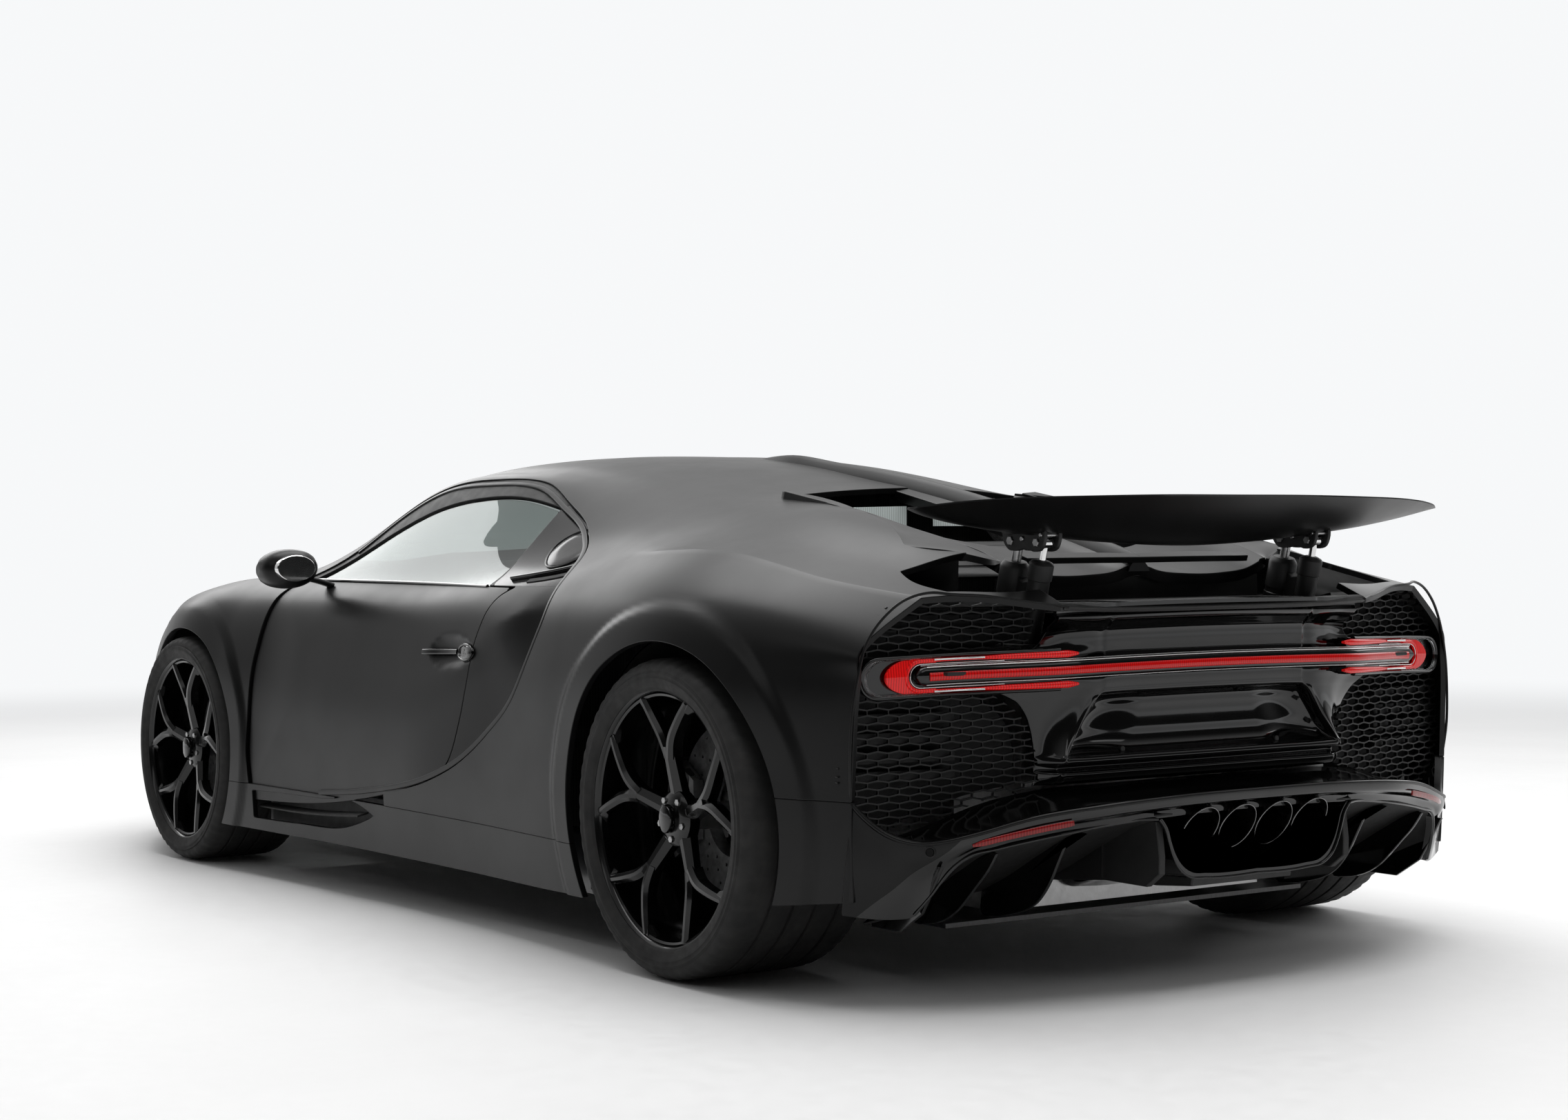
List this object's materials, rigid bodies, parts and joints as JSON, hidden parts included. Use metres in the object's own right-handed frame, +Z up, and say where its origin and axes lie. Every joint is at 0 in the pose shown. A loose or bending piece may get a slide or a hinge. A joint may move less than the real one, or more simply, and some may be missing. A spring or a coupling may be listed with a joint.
{
  "type": "two-seat mid-engine hypercar",
  "caption": "Low two-seat mid-engine hypercar in satin black with opening doors and bonnet, steering, rolling wheels and a raised rear wing that lowers and tilts.",
  "frame": {"origin": "on the floor, below the centre of the bounding box", "axes": "+X towards the tail, +Y to the car's right, +Z up"},
  "size_m": [4.544, 2.1206, 1.2121],
  "materials": {
    "body_black": "satin matte black paint",
    "gloss_black": "gloss black lacquer",
    "carbon": "clear-coated carbon fibre weave",
    "satin_black": "satin moulded black",
    "mesh": "black grille mesh",
    "glass": "dark tinted glass",
    "lamp_lens": "clear lamp lens and reflector",
    "red_lamp": "red lamp lens",
    "steel": "machined steel",
    "aluminium": "cast and machined aluminium",
    "chrome": "polished chrome rod",
    "exhaust_steel": "heat-toned steel",
    "tyre": "road tyre rubber",
    "rim": "gloss black cast wheel",
    "leather": "black stitched leather"
  },
  "bodies": {
    "chassis": {"dashboard": "leather", "diffuser": "carbon", "engine": "aluminium", "exhaust": "exhaust_steel", "fenders": "body_black", "front_axle": "aluminium", "front_beams": "aluminium", "front_bumper": "body_black", "front_grilles": "mesh", "front_rails": "aluminium", "headlamps": "lamp_lens", "luggage_tub": "satin_black", "monocoque": "carbon", "rear_axle": "aluminium", "rear_bumper": "body_black", "rear_deck": "body_black", "rear_fascia": "gloss_black", "rear_frame": "aluminium", "rear_grilles": "mesh", "rear_quarters": "body_black", "roof": "body_black", "seats": "leather", "side_frames": "body_black", "side_skirts": "satin_black", "steering_wheel": "leather", "tail_lamp": "red_lamp", "underfloor": "carbon", "windscreen": "glass", "wing_guides": "aluminium"},
    "bonnet_lid": {"bonnet": "body_black"},
    "door_leaf_left": {"door_left": "body_black", "door_glass_left": "glass", "mirror_left": "body_black"},
    "door_leaf_right": {"door_right": "body_black", "door_glass_right": "glass", "mirror_right": "body_black"},
    "steer_left": {"knuckle_left": "aluminium"},
    "steer_right": {"knuckle_right": "aluminium"},
    "wheel_front_left": {"tyre_front_left": "tyre", "rim_front_left": "rim"},
    "wheel_front_right": {"tyre_front_right": "tyre", "rim_front_right": "rim"},
    "wheel_rear_left": {"tyre_rear_left": "tyre", "rim_rear_left": "rim"},
    "wheel_rear_right": {"tyre_rear_right": "tyre", "rim_rear_right": "rim"},
    "wing_lift": {"wing_stays": "satin_black"},
    "wing_blade": {"wing": "satin_black"},
    "rods": {"tilt_rods": "chrome"}
  },
  "joints": [
    {"name": "bonnet_hinge", "type": "hinge", "parent": "chassis", "child": "bonnet_lid", "pos_m": [-1.075, 0, 0.838], "axis": [0, 1, 0], "range_deg": [0, 50]},
    {"name": "door_left_hinge", "type": "hinge", "parent": "chassis", "child": "door_leaf_left", "pos_m": [-0.76, -0.955, 0.286], "axis": [0, 0, -1], "range_deg": [0, 60]},
    {"name": "door_right_hinge", "type": "hinge", "parent": "chassis", "child": "door_leaf_right", "pos_m": [-0.76, 0.955, 0.286], "axis": [0, 0, 1], "range_deg": [0, 60]},
    {"name": "steering", "type": "hinge", "parent": "chassis", "child": "steer_left", "pos_m": [-1.29, -0.79, 0.3395], "axis": [0, 0, 1], "range_deg": [-30, 30]},
    {"name": "steering_right", "type": "hinge", "parent": "chassis", "child": "steer_right", "pos_m": [-1.29, 0.79, 0.3395], "axis": [0, 0, 1], "range_deg": [-30, 30]},
    {"name": "spin_front_left", "type": "hinge", "parent": "steer_left", "child": "wheel_front_left", "pos_m": [-1.29, -0.8745, 0.3395], "axis": [0, 1, 0], "continuous": true},
    {"name": "spin_front_right", "type": "hinge", "parent": "steer_right", "child": "wheel_front_right", "pos_m": [-1.29, 0.8745, 0.3395], "axis": [0, 1, 0], "continuous": true},
    {"name": "spin_rear_left", "type": "hinge", "parent": "chassis", "child": "wheel_rear_left", "pos_m": [1.421, -0.833, 0.3555], "axis": [0, 1, 0], "continuous": true},
    {"name": "spin_rear_right", "type": "hinge", "parent": "chassis", "child": "wheel_rear_right", "pos_m": [1.421, 0.833, 0.3555], "axis": [0, 1, 0], "continuous": true},
    {"name": "wing_slide", "type": "slide", "parent": "chassis", "child": "wing_lift", "axis": [0.2487, 0, 0.9686], "range_m": [-0.09, 0]},
    {"name": "wing_tilt", "type": "hinge", "parent": "wing_lift", "child": "wing_blade", "pos_m": [1.938, 0, 0.962], "axis": [0, -1, 0], "range_deg": [-12, 33]},
    {"name": "rod_slide", "type": "slide", "parent": "wing_lift", "child": "rods", "axis": [0.2487, 0, 0.9686], "range_m": [-0.02, 0.052]}
  ],
  "couplings": [
    {"joint": "steering_right", "follows": "steering", "ratio": 1},
    {"joint": "rod_slide", "follows": "wing_tilt", "m_per_rad": 0.086}
  ]
}
